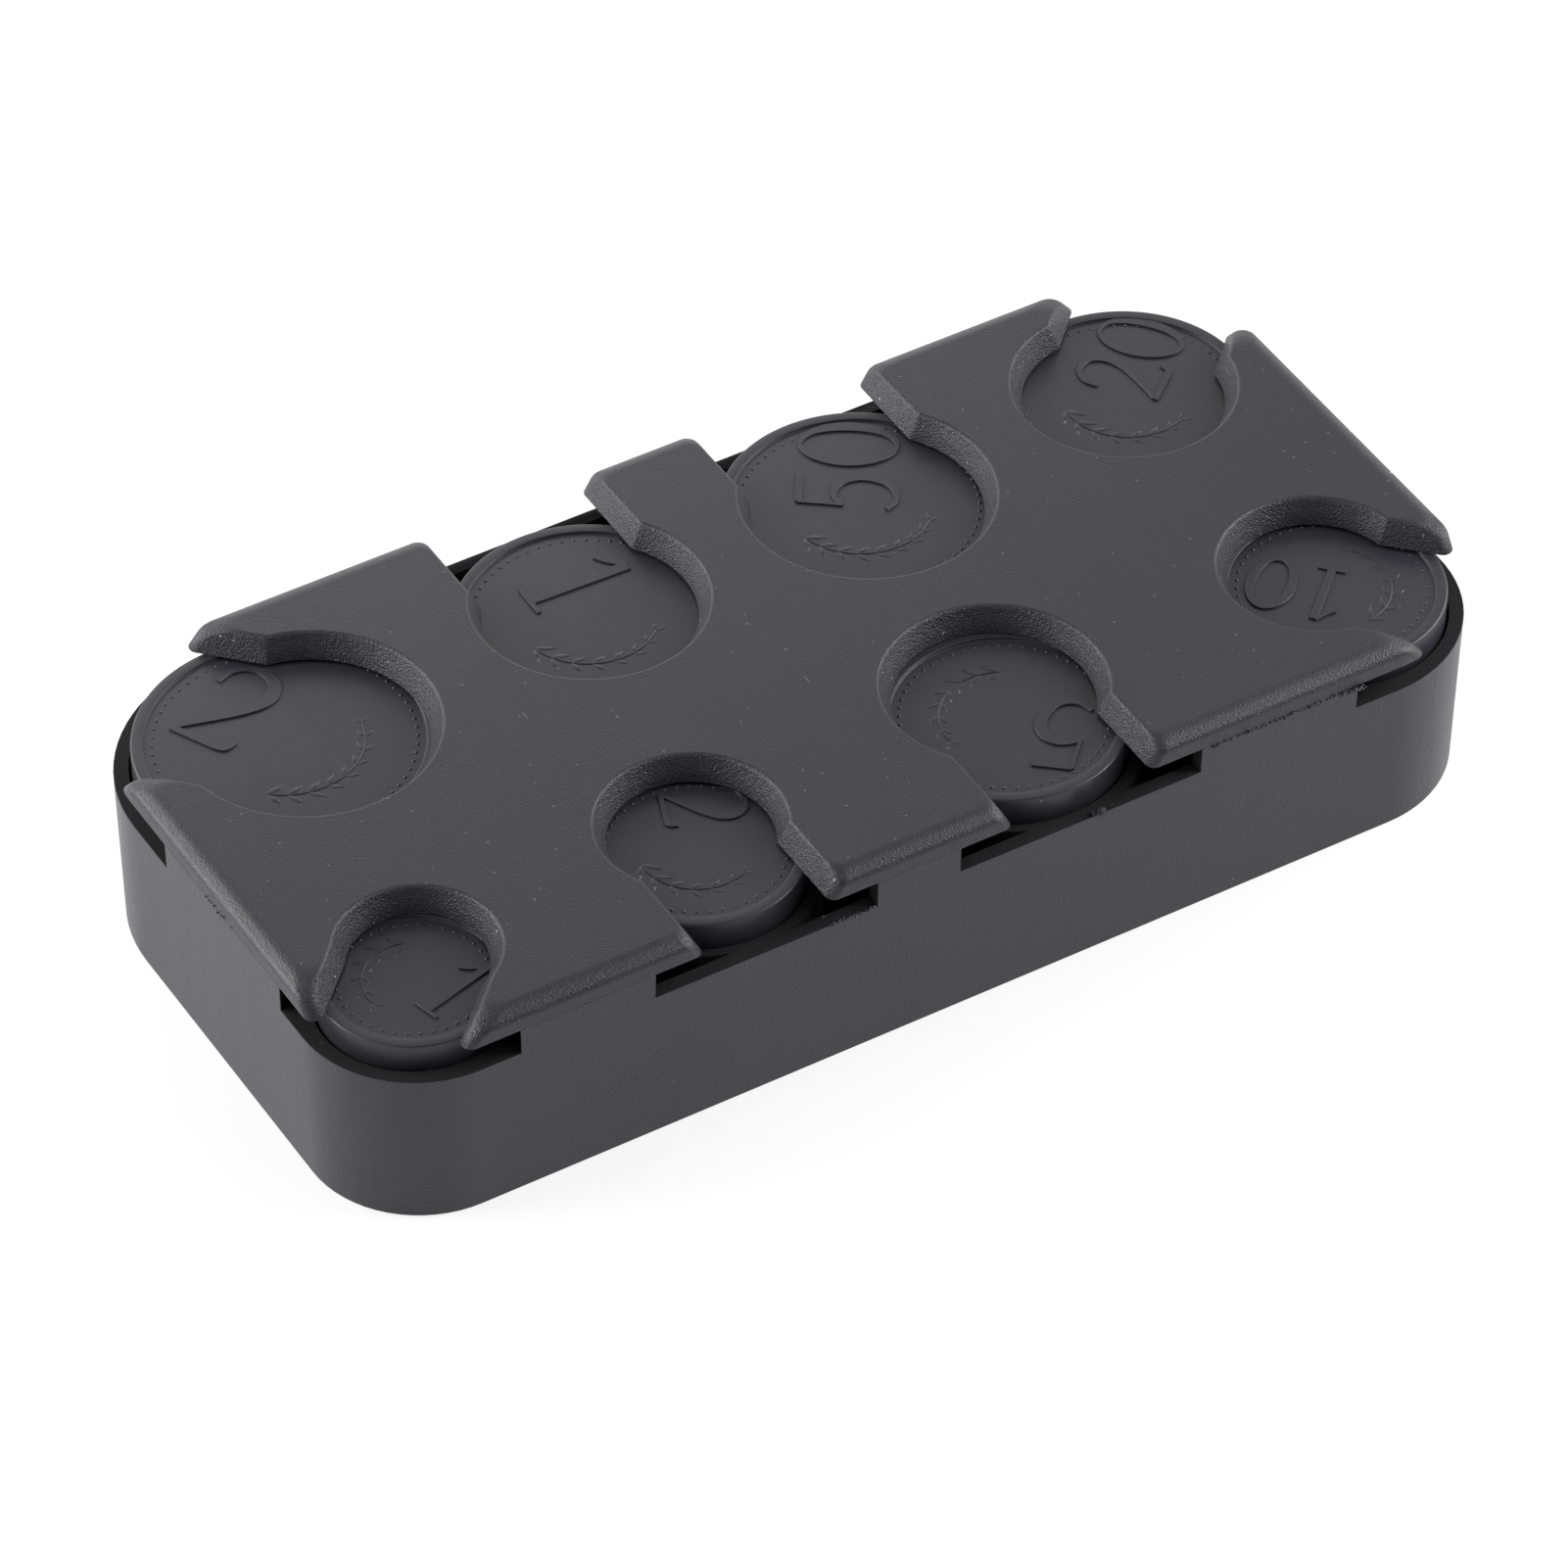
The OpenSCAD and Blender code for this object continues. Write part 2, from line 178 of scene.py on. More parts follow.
def makeGrainGroup():
    tree, given, result = shaderGroup("mouldGrain", dict(Fine=5500.0, Coarse=2200.0), ["Height", "Pebbles"])
    fine = noise(tree, given["Vector"], given["Fine"], grainNoise["fineDetail"], grainNoise["fineRough"])
    pebble = noise(tree, given["Vector"], given["Coarse"], grainNoise["coarseDetail"])
    setInput(tree, result["Height"], fine)
    setInput(tree, result["Pebbles"], pebble)
    return tree


def makeDustGroup():
    tree, given, result = shaderGroup("dustSpecks", dict(Cells=300.0, Size=0.05, Share=0.2), ["Mask"])
    cell = addNode(tree, "ShaderNodeTexVoronoi", {
        "Vector": given["Vector"], "Scale": given["Cells"]}, feature="F1").outputs
    pick = addNode(tree, "ShaderNodeSeparateColor", {0: cell["Color"]}).outputs
    chosen = mathNode(tree, "LESS_THAN", pick[0], given["Share"])
    reach = times(tree, given["Size"], plus(tree, pick[1], speck["least"]))
    near = mathNode(tree, "LESS_THAN", cell["Distance"], reach)
    strength = mathNode(tree, "POWER", pick[2], speck["contrast"])  # few specks are bright
    setInput(tree, result["Mask"], times(tree, times(tree, chosen, near), strength))
    return tree


def makeWearGroup():
    tree, given, result = shaderGroup("handling", dict(Scale=60.0), ["Cloud", "Streak"])
    cloud = noise(tree, given["Vector"], given["Scale"], handling["cloudDetail"])
    stretched = addNode(tree, "ShaderNodeMapping", {"Scale": handling["stretch"], "Vector": given["Vector"]})
    streak = noise(tree, stretched.outputs["Vector"], given["Scale"], handling["streakDetail"])
    setInput(tree, result["Cloud"], spread(tree, cloud, *handling["cloudRange"]))
    setInput(tree, result["Streak"], spread(tree, streak, *handling["streakRange"]))
    return tree


grainGroup = makeGrainGroup()
dustGroup = makeDustGroup()
wearGroup = makeWearGroup()


def placeGroup(tree, group, vector, **values):
    return addNode(tree, "ShaderNodeGroup", {"Vector": vector, **values}, node_tree=group).outputs


# plastics: scales and cells to the metre, depths in metres
# the inside tone is the black of the painted shade laid on faces inside the tray
plastic = dict(ior=1.47, cloudShare=0.6, grainShare=0.4, lintSize=0.045, lintCells=(1.0, 0.1, 1.0),
               paintedShadeTone=(0, 0, 0))
coverLook = dict(darkTone=(0.0190, 0.0179, 0.0250), paleTone=(0.0230, 0.0218, 0.0293),
                 roughness=0.42, roughSpread=0.05, fineGrain=5000.0, fineDepth=0.000046,
                 coarseGrain=6500.0, coarseDepth=0.000012, roughWalls=8.5, wearScale=55.0,
                 dustCells=900.0, dustSize=0.09, dustShare=0.45, dustTone=(0.46, 0.46, 0.46),
                 lintTurn=0.5, lintShare=0.12)
trayLook = dict(darkTone=(0.0188, 0.0177, 0.0256), paleTone=(0.0218, 0.0206, 0.0291),
                roughness=0.38, roughSpread=0.02, fineGrain=4600.0, fineDepth=0.000065,
                coarseGrain=2600.0, coarseDepth=0.000003, wearScale=42.0,
                dustCells=800.0, dustSize=0.085, dustShare=0.18, dustTone=(0.4, 0.4, 0.4),
                # the last two: how much matter the inside faces are, and how far painted shade darkens them
                lintTurn=1.2, lintShare=0.05, mattInside=0.58, paintedInsideShade=0.85)
capLook = dict(darkTone=(0.0253, 0.0240, 0.0316), paleTone=(0.0293, 0.0279, 0.0358),
               roughness=0.34, roughSpread=0.06, fineGrain=5600.0, fineDepth=0.000012,
               coarseGrain=2200.0, coarseDepth=0.000003, wearScale=80.0,
               dustCells=900.0, dustSize=0.09, dustShare=0.2, dustTone=(0.4, 0.4, 0.4),
               lintTurn=2.1, lintShare=0.04)


def makePlastic(name, look):
    material, tree = newMaterial(name)
    shader = tree.nodes["Principled BSDF"].inputs
    spot = addNode(tree, "ShaderNodeTexCoord").outputs["Object"]
    grain = placeGroup(tree, grainGroup, spot, Fine=look["fineGrain"], Coarse=look["coarseGrain"])
    wear = placeGroup(tree, wearGroup, spot, Scale=look["wearScale"])
    specks = placeGroup(tree, dustGroup, spot, Cells=look["dustCells"], Size=look["dustSize"],
                        Share=look["dustShare"])
    slant = addNode(tree, "ShaderNodeMapping", {  # long thin cells make fibres
        "Rotation": (0.0, 0.0, look["lintTurn"]), "Scale": plastic["lintCells"], "Vector": spot})
    lint = placeGroup(tree, dustGroup, slant.outputs[0], Cells=look["dustCells"], Size=plastic["lintSize"],
                      Share=look["lintShare"])
    dirt = mathNode(tree, "MAXIMUM", specks["Mask"], lint["Mask"])

    blend = plus(tree, times(tree, wear["Cloud"], plastic["cloudShare"]),
                 times(tree, grain["Height"], plastic["grainShare"]))
    tone = mixTones(tree, blend, (*look["darkTone"], 1), (*look["paleTone"], 1))
    rough = plus(tree, look["roughness"] - look["roughSpread"] / 2,
                 times(tree, wear["Streak"], look["roughSpread"]))
    if "mattInside" in look:  # faces inside the tray are matt, and their colour is darkened toward black as painted shade for the shaded slots and pockets
        inside = addNode(tree, "ShaderNodeAttribute", attribute_name="inside").outputs["Fac"]
        tone = mixTones(tree, times(tree, inside, look["paintedInsideShade"]), tone, (*plastic["paintedShadeTone"], 1))
        rough = plus(tree, rough, times(tree, inside, look["mattInside"]))
    setInput(tree, shader["Base Color"], mixTones(tree, dirt, tone, (*look["dustTone"], 1)))
    setInput(tree, shader["Roughness"], rough)
    setInput(tree, shader["IOR"], plastic["ior"])

    height = times(tree, grain["Height"], look["fineDepth"])
    pebbles = times(tree, grain["Pebbles"], look["coarseDepth"])
    if "roughWalls" in look:  # walls of the openings came from a coarser mould face
        wall = addNode(tree, "ShaderNodeAttribute", attribute_name="openingWall").outputs["Fac"]
        pebbles = times(tree, pebbles, plus(tree, 1.0, times(tree, wall, look["roughWalls"])))
    bump = addNode(tree, "ShaderNodeBump", {
        "Distance": 1.0, "Strength": 1.0, "Height": plus(tree, height, pebbles)})
    setInput(tree, shader["Normal"], bump.outputs["Normal"])
    return material


coverPlastic = makePlastic("coverPlastic", coverLook)
trayPlastic = makePlastic("trayPlastic", trayLook)
capPlastic = makePlastic("capPlastic", capLook)

steel = dict(tone=(0.62, 0.62, 0.64), shade=(0.5, 0.5, 0.52), roughLow=0.22, roughHigh=0.36, scale=900.0)


def makeSteel():
    material, tree = newMaterial("springSteel")
    shader = tree.nodes["Principled BSDF"].inputs
    spot = addNode(tree, "ShaderNodeTexCoord").outputs["Object"]
    drawn = placeGroup(tree, wearGroup, spot, Scale=steel["scale"])
    tone = mixTones(tree, drawn["Cloud"], (*steel["tone"], 1), (*steel["shade"], 1))
    rough = spread(tree, drawn["Streak"], 0, 1, steel["roughLow"], steel["roughHigh"])
    setInput(tree, shader["Base Color"], tone)
    setInput(tree, shader["Roughness"], rough)
    setInput(tree, shader["Metallic"], 1.0)
    return material


springSteel = makeSteel()
print("materials made")

# cover: one outline runs round the case and in and out of every keyhole opening, drawn afresh at each depth
cover = dict(slope=1.15, cornerMargin=2.5, bevelTilt=32, upperRound=1.9, bevelFlat=0.42, lowerRound=0.75,
             lipRound=0.36, tipRound=1.15, tipFoot=0.85, shoulderRound=0.6, footRound=0.04, roundSteps=6,
             cornerPoints=16, tipPoints=7, wellPoints=112, cornerCreep=0.01, rowGap=0.004, wallFade=0.25,
             bevelGrain=0.35, pegDiameter=2.4, pegLength=3.5, pegOverlap=0.3, pegSides=32, pegApart=4,
             sharpAngle=50)  # mm and degrees
bevelTilt = math.radians(cover["bevelTilt"])
thick = topZ - seamZ
wallTilt = math.atan2(thick, cover["slope"] * mm)
lipEdge = cover["lipRound"] * mm * math.tan(wallTilt / 2)
edgeWide = (cover["upperRound"] * math.sin(bevelTilt) + cover["bevelFlat"] * math.cos(bevelTilt)
            + cover["lowerRound"] * (1 - math.sin(bevelTilt))) * mm  # flat top to outer wall


def cornerRound(coin):  # the case's corner runs round the coin in it
    return coin["radius"] + cover["cornerMargin"] * mm


def arc(centre, radius, start, stop, steps, weights=(0, 0), first=0):
    for k in range(first, steps + 1):
        t = k / steps
        angle = start + (stop - start) * t
        spot = centre + Vector((math.cos(angle), math.sin(angle))) * radius
        yield spot, weights[0] + (weights[1] - weights[0]) * t


def creep(centre, radius, angle, steps, begin):  # the corner's points, bunched on the side beside a nose
    facing = Vector((math.cos(angle), math.sin(angle)))
    onward = Vector((-facing.y, facing.x))
    for k in range(steps + 1):
        yield centre + facing * radius + onward * cover["cornerCreep"] * mm * (begin + k), 1


def openingOutline(coin, grow, inset, fall):  # grow: out from the flat top's edge; inset: into the opening
    radius = coin["radius"] - coin["lip"] * mm + lipEdge - inset
    half = radius - coin["shoulder"] * mm
    out = math.radians(coin["out"])
    away = Vector((math.cos(out), math.sin(out)))
    side = Vector((-away.y, away.x))
    centre = coin["centre"] - away * coin["inboard"] * mm
    tip = (cover["tipRound"] + (cover["tipFoot"] - cover["tipRound"]) * fall) * mm  # noses sharpen downward
    shoulder = cover["shoulderRound"] * mm
    tipSteps, cornerSteps = cover["tipPoints"], cover["cornerPoints"]
    inCorner = coin["out"] % 90 != 0
    quarter, eighth = math.pi / 2, math.pi / 4
    if inCorner:  # leaves through a corner of the case
        fullRadius = cornerRound(coin)
        corner = Vector((math.copysign(coverHigh.x - fullRadius, away.x),
                         math.copysign(coverHigh.y - fullRadius, away.y)))
        cornerRadius = fullRadius - edgeWide + grow
        shift = (corner - centre).dot(away)
        if (cornerRadius - tip) * math.sin(eighth) > half + tip:
            tipAlong = shift + math.sqrt((cornerRadius - tip) ** 2 - (half + tip) ** 2)
            lean = math.atan2(half + tip, tipAlong - shift)
        else:  # too blunt for the corner, so the nose ends on the straight side
            tipAlong = shift + (cornerRadius - tip) / math.sin(eighth) - (half + tip)
            lean = eighth
    else:
        tipAlong = coverHigh.y - edgeWide + grow - tip - abs(centre.y)
        lean = 0.0
    along = math.sqrt((radius + shoulder) ** 2 - (half + shoulder) ** 2)
    bend = math.atan2(half + shoulder, along)
    tipFirst, tipLast = (centre + away * tipAlong + side * sign * (half + tip) for sign in (-1, 1))
    bendFirst, bendLast = (centre + away * along + side * sign * (half + shoulder) for sign in (-1, 1))
    if inCorner and lean < eighth:
        yield from arc(corner, cornerRadius, out - eighth, out - lean, cornerSteps, (1, 1))
    elif inCorner:
        yield from creep(tipFirst, tip, out - eighth, cornerSteps, -cornerSteps)
    yield from arc(tipFirst, tip, out - lean, out + quarter, tipSteps, (1, 0), int(inCorner))
    yield from arc(bendFirst, shoulder, out + quarter, out + math.pi - bend, tipSteps)
    yield from arc(centre, radius, out - bend, out + bend - 2 * math.pi, cover["wellPoints"], first=1)
    yield from arc(bendLast, shoulder, out - math.pi + bend, out - quarter, tipSteps, first=1)
    yield from arc(tipLast, tip, out - quarter, out + lean, tipSteps, (0, 1))
    if inCorner and lean < eighth:
        yield from arc(corner, cornerRadius, out + lean, out + eighth, cornerSteps, (1, 1), 1)
    elif inCorner:
        yield from creep(tipLast, tip, out + eighth, cornerSteps - 1, 1)


def roundEdge(radius, start, stop, begin):
    steps = cover["roundSteps"]
    turns = [start + (stop - start) * k / steps for k in range(steps + 1)]
    return [(begin[0] + radius * (math.sin(turn) - math.sin(start)),
             begin[1] + radius * (math.cos(start) - math.cos(turn))) for turn in turns]


def coverProfiles():  # offset and depth down the outer edge and down an opening's wall
    upper, flat, lower, lip, foot = (cover[key] * mm for key in (
        "upperRound", "bevelFlat", "lowerRound", "lipRound", "footRound"))
    outer = roundEdge(upper, 0, bevelTilt, (0, 0))
    bevelEnd = (outer[-1][0] + flat * math.cos(bevelTilt), outer[-1][1] + flat * math.sin(bevelTilt))
    outer += roundEdge(lower, bevelTilt, math.pi / 2, bevelEnd)
    inner = roundEdge(lip, 0, wallTilt, (0, 0))
    run = cover["slope"] * mm / thick
    for back, up in ((0, 1), (0.3, 0.3), (1, 0)):  # small round at the foot of the edge
        outer.append((edgeWide - foot * back, thick - foot * up))
        inner.append((lipEdge + run * (thick - foot * up) - foot * back, thick - foot * up))
    return outer, inner


def offsetAt(profile, depth):
    for (offA, depthA), (offB, depthB) in zip(profile, profile[1:]):
        if depth <= depthB:
            return offA + (offB - offA) * max(0, depth - depthA) / max(depthB - depthA, 1e-9)
    return profile[-1][0]


def pegCentres():
    below = seamZ - cover["pegLength"] * mm / 2
    posts = sorted({(round(v.co.x / mm), round(v.co.y / mm))
                    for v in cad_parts["cover_plate"].data.vertices if v.co.z < below})
    groups = []
    for x, y in posts:  # vertices of one peg lie close together
        near = [g for g in groups if abs(g[0][0] - x) < cover["pegApart"]]
        if near:
            near[0].append((x, y))
        else:
            groups.append([(x, y)])
    return [(sum(p[0] for p in g) / len(g) * mm, sum(p[1] for p in g) / len(g) * mm) for g in groups]


def addPegs(bm):
    long = (cover["pegLength"] + cover["pegOverlap"]) * mm
    radius = cover["pegDiameter"] * mm / 2
    for x, y in pegCentres():
        place = Matrix.Translation((x, y, seamZ + cover["pegOverlap"] * mm - long / 2))
        bmesh.ops.create_cone(bm, cap_ends=True, segments=cover["pegSides"], radius1=radius, radius2=radius,
                              depth=long, matrix=place)


def makeCover():
    outer, inner = coverProfiles()
    depths = []
    for depth in sorted(point[1] for point in outer + inner):
        if not depths or depth - depths[-1] > cover["rowGap"] * mm:
            depths.append(depth)
    bm = bmesh.new()
    wallLayer = bm.verts.layers.float.new("openingWall")
    rows = []
    for depth in depths:
        row = []
        grow, inset = offsetAt(outer, depth), offsetAt(inner, depth)
        fade = min(1, depth / (cover["wallFade"] * mm))
        for coin in coins.values():
            for spot, weight in openingOutline(coin, grow, inset, depth / thick):
                vert = bm.verts.new((spot.x, spot.y, topZ - depth))
                vert[wallLayer] = fade * (1 - weight + weight * cover["bevelGrain"])
                row.append(vert)
        rows.append(row)
    count = len(rows[0])
    for upper, lower in zip(rows, rows[1:]):
        for k in range(count):
            bm.faces.new((upper[k], lower[k], lower[(k + 1) % count], upper[(k + 1) % count]))
    bm.faces.new(rows[0])
    bm.faces.new(list(reversed(rows[-1])))
    addPegs(bm)
    bmesh.ops.recalc_face_normals(bm, faces=bm.faces)
    mesh = pourMesh(bm, bpy.data.meshes.new("coverShell"))
    return finishMesh("coverShell", mesh, coverPlastic, cover["sharpAngle"])


coverShell = makeCover()
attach(coverShell, "case")
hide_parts("cover_plate")
print("cover lofted:", len(coverShell.data.polygons), "faces")

# tray: the CAD tray with the edges of its outer wall eased
tray = dict(edge=0.09, steps=2, wallReach=0.5, upright=0.5, flatAngle=0.6, easeAngle=40, underCover=0.1,
            sharpAngle=25)  # mm and degrees


def insideCase(point):  # how far a point lies inside the case's outline
    corner = next(c for c in coins.values() if c["out"] % 90
                  and point.x * math.cos(math.radians(c["out"])) >= 0
                  and point.y * math.sin(math.radians(c["out"])) >= 0)
    radius = cornerRound(corner)
    x = abs(point.x) - coverHigh.x + radius
    y = abs(point.y) - coverHigh.y + radius
    return radius - math.hypot(max(x, 0), max(y, 0)) - min(max(x, y), 0)


def makeTray():
    bm = bmesh.new()
    bm.from_mesh(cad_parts["base_tray"].data)
    bmesh.ops.remove_doubles(bm, verts=bm.verts, dist=weldGap)
    bmesh.ops.dissolve_limit(bm, angle_limit=math.radians(tray["flatAngle"]), verts=bm.verts, edges=bm.edges)
    onWall = {v for v in bm.verts if insideCase(v.co) < tray["wallReach"] * mm}
    # faces off the outer wall are marked inside: the material makes them matt and darkens them with painted
    # shade
    insideLayer = bm.faces.layers.float.new("inside")
    for face in bm.faces:
        outside = set(face.verts) <= onWall and abs(face.normal.z) < tray["upright"]
        face[insideLayer] = 0.0 if outside else 1.0
    eased = [e for e in bm.edges if set(e.verts) <= onWall
             and e.calc_face_angle(0) > math.radians(tray["easeAngle"])
             and min(v.co.z for v in e.verts) < seamZ - tray["underCover"] * mm]
    bmesh.ops.bevel(bm, geom=eased, offset=tray["edge"] * mm, segments=tray["steps"], profile=0.5,
                    affect="EDGES", clamp_overlap=True)
    mesh = pourMesh(bm, bpy.data.meshes.new("trayShell"))
    return finishMesh("trayShell", mesh, trayPlastic, tray["sharpAngle"])


trayShell = makeTray()
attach(trayShell, "case")
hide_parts("base_tray")
print("tray eased:", len(trayShell.data.polygons), "faces")


# helpers for geometry nodes
def geometryTree(name, inputs):  # named inputs for the sizes, and the material last
    tree = bpy.data.node_groups.new(name, "GeometryNodeTree")
    for way in ("INPUT", "OUTPUT"):
        tree.interface.new_socket("Geometry", in_out=way, socket_type="NodeSocketGeometry")
    for label, kind in {**inputs, "Material": "Material"}.items():
        tree.interface.new_socket(label, in_out="INPUT", socket_type="NodeSocket" + kind)
    return tree, tree.nodes.new("NodeGroupInput").outputs


def endTree(tree, geometry, given, place=None):  # moves the shape to its place, makes it real and paints it
    if place:
        geometry = addNode(tree, "GeometryNodeTransform", {
            "Geometry": geometry, "Translation": given[place]}).outputs[0]
    real = addNode(tree, "GeometryNodeRealizeInstances", {0: geometry}).outputs[0]
    paint = addNode(tree, "GeometryNodeSetMaterial", {"Geometry": real, "Material": given["Material"]})
    addNode(tree, "NodeGroupOutput", {0: paint.outputs[0]})


def runTree(tree, name, baseMesh, values):
    obj = bpy.data.objects.new(name, baseMesh)
    scene.collection.objects.link(obj)
    modifier = obj.modifiers.new(tree.name, "NODES")
    modifier.node_group = tree
    for item in tree.interface.items_tree:
        if item.in_out == "INPUT" and item.name in values:
            modifier[item.identifier] = values[item.name]
    depsgraph = bpy.context.evaluated_depsgraph_get()
    mesh = bpy.data.meshes.new_from_object(obj.evaluated_get(depsgraph), depsgraph=depsgraph)
    obj.modifiers.remove(modifier)
    bpy.data.objects.remove(obj)
    mesh.name = name
    return mesh


def lineMesh(name, points):
    mesh = bpy.data.meshes.new(name)
    mesh.from_pydata(points, [(k, k + 1) for k in range(len(points) - 1)], [])
    return mesh


def sweepWire(tree, path, radius, sides):
    ring = addNode(tree, "GeometryNodeCurvePrimitiveCircle", {"Resolution": sides, "Radius": radius})
    return addNode(tree, "GeometryNodeCurveToMesh", {
        "Curve": path, "Profile Curve": ring.outputs["Curve"], "Fill Caps": True}).outputs[0]


# caps: turned cups with a raised rim
cap = dict(topThick=1.6, skirt=1.0, rimWide=1.0, rimTall=0.25, rimRound=0.08, edgeRound=0.16, footRound=0.15,
           hollowRound=0.4, spigotRadius=3.5, spigotWall=1.0, spigotTall=1.6, draft=0.06, rimSteps=5,
           edgeSteps=8, footSteps=4, segments=144, sharpAngle=40)  # mm and degrees


def makeLatheTree():
    tree, given = geometryTree("turnedCap", {"Segments": "Int", "Centre": "Vector"})
    rows = addNode(tree, "GeometryNodeAttributeDomainSize", {0: given["Geometry"]}).outputs["Point Count"]
    grid = addNode(tree, "GeometryNodeMeshGrid", {
        "Vertices X": plus(tree, given["Segments"], 1.0), "Vertices Y": rows})
    index = addNode(tree, "GeometryNodeInputIndex").outputs[0]
    column = mathNode(tree, "FLOOR", mathNode(tree, "DIVIDE", index, rows))
    sample = addNode(tree, "GeometryNodeSampleIndex", {
        "Geometry": given["Geometry"], "Value": addNode(tree, "GeometryNodeInputPosition").outputs[0],
        "Index": mathNode(tree, "MODULO", index, rows)}, data_type="FLOAT_VECTOR", domain="POINT")
    angle = times(tree, mathNode(tree, "DIVIDE", column, given["Segments"]), fullTurn)
    turn = addNode(tree, "ShaderNodeVectorRotate", {
        "Vector": sample.outputs["Value"], "Angle": angle}, rotation_type="Z_AXIS")
    place = addNode(tree, "GeometryNodeSetPosition", {
        "Geometry": grid.outputs["Mesh"], "Position": turn.outputs[0]})
    weld = addNode(tree, "GeometryNodeMergeByDistance", {"Geometry": place.outputs[0], "Distance": weldGap})
    endTree(tree, weld.outputs[0], given, "Centre")
    return tree


def quarterTurn(centre, radius, start, stop, steps):
    angles = [math.radians(start + (stop - start) * k / steps) for k in range(steps + 1)]
    return [(centre[0] + radius * math.cos(angle), centre[1] + radius * math.sin(angle)) for angle in angles]


def capProfile(radius):
    r = radius / mm
    top = capHigh.z / mm
    foot = capLow.z / mm
    face = top - cap["rimTall"]
    under = top - cap["topThick"]
    inner = r - cap["rimWide"]
    edge, soft, low, hollow = (cap[key] for key in ("edgeRound", "rimRound", "footRound", "hollowRound"))
    side = r - cap["draft"]
    wall = r - cap["skirt"]
    rimSteps, footSteps = cap["rimSteps"], cap["footSteps"]
    points = [(0, face), (inner * 0.5, face), (inner - 3 * soft, face)]
    points += quarterTurn((inner - soft, face + soft), soft, 270, 360, rimSteps)  # step up to the rim
    points += quarterTurn((inner + soft, top - soft), soft, 180, 90, rimSteps)
    points += quarterTurn((r - edge, top - edge), edge, 90, 0, cap["edgeSteps"])
    points += [(r - cap["draft"] / 2, (top + foot) / 2)]
    points += quarterTurn((side - low, foot + low), low, 0, -90, footSteps)
    points += quarterTurn((wall + low, foot + low), low, 270, 180, footSteps)
    points += [(wall, under - hollow)]
    points += quarterTurn((wall - hollow, under - hollow), hollow, 0, 90, footSteps)
    spigot, bore, tall = cap["spigotRadius"], cap["spigotRadius"] - cap["spigotWall"], cap["spigotTall"]
    points += [(spigot, under), (spigot, under - tall), (bore, under - tall), (bore, under), (0, under)]
    return [(x * mm, 0, z * mm) for x, z in points]


latheTree = makeLatheTree()
for name, coin in coins.items():
    mesh = runTree(latheTree, "cap_" + name, lineMesh("profile", capProfile(coin["radius"])), {
        "Segments": cap["segments"], "Centre": (*coin["centre"], 0.0), "Material": capPlastic})
    bm = bmesh.new()
    bm.from_mesh(mesh)
    bmesh.ops.recalc_face_normals(bm, faces=bm.faces)
    piece = finishMesh("cap_" + name, pourMesh(bm, mesh), capPlastic, cap["sharpAngle"])
    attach(piece, "plunger_" + name)
    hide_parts("plunger_" + name)
print("caps turned:", len(coins))

# relief on the caps: numeral strokes, a beaded ring and a leafy sprig
relief = dict(tall=0.18, sunk=0.03, flare=0.012, soft=0.02, digitWide=0.6, advance=0.7, curveSteps=6,
              strokeStep=0.004, beadGap=1.05, beadSize=0.34, beadInset=0.8, beadFlat=0.62, beadSides=10,
              beadRings=6, leafLong=1.9, leafWide=0.8, leafTall=0.09, leafSteps=8, leafBelly=0.8,
              leafRidge=0.3, leafGap=1.5, leafTurn=38, leafTaper=0.45, leastLeaves=4, sprigAt=0.52,
              sprigSweep=120, stemWide=0.16, stemPoints=48, stemSides=8,
              sharpAngle=40)  # mm and degrees, digits in parts of their height
strokes = {  # centre line points on a digit one unit tall, each with its half width
    "0": [[(0.30 + 0.26 * math.cos(k * math.pi / 12), 0.5 + 0.47 * math.sin(k * math.pi / 12),
            0.022 + 0.04 * math.cos(k * math.pi / 12) ** 2) for k in range(25)]],
    "1": [[(0.10, 0.77, 0.012), (0.20, 0.85, 0.022), (0.31, 0.98, 0.030)],
          [(0.335, 0.985, 0.052), (0.335, 0.5, 0.052), (0.335, 0.02, 0.052)],
          [(0.16, 0.02, 0.018), (0.335, 0.02, 0.024), (0.51, 0.02, 0.018)]],
    "2": [[(0.07, 0.70, 0.020), (0.10, 0.85, 0.024), (0.20, 0.95, 0.028), (0.33, 0.975, 0.034),
           (0.46, 0.93, 0.050), (0.535, 0.81, 0.062), (0.53, 0.67, 0.060), (0.46, 0.52, 0.046),
           (0.34, 0.36, 0.034), (0.20, 0.20, 0.026), (0.07, 0.06, 0.022)],
          [(0.05, 0.035, 0.030), (0.30, 0.035, 0.034), (0.52, 0.035, 0.036), (0.58, 0.06, 0.024),
           (0.605, 0.15, 0.012)]],
    "5": [[(0.54, 0.955, 0.034), (0.34, 0.955, 0.034), (0.15, 0.955, 0.034)],
          [(0.15, 0.97, 0.020), (0.135, 0.75, 0.020), (0.115, 0.53, 0.020)],
          [(0.115, 0.535, 0.018), (0.20, 0.60, 0.024), (0.32, 0.62, 0.034), (0.45, 0.56, 0.052),
           (0.525, 0.42, 0.062), (0.525, 0.27, 0.062), (0.45, 0.11, 0.050), (0.32, 0.03, 0.032),
           (0.18, 0.03, 0.026), (0.06, 0.11, 0.020)]],
}


def smoothLine(points, steps):
    if len(points) < 3:
        return points
    result = []
    for k in range(len(points) - 1):  # a curve through every point
        a, b, c, d = (Vector(points[max(0, min(len(points) - 1, j))]) for j in (k - 1, k, k + 1, k + 2))
        for s in range(steps):
            t = s / steps
            result.append((2 * b + (c - a) * t + (2 * a - 5 * b + 4 * c - d) * t ** 2
                           + (3 * b - a - 3 * c + d) * t ** 3) / 2)
    result.append(Vector(points[-1]))
    return result


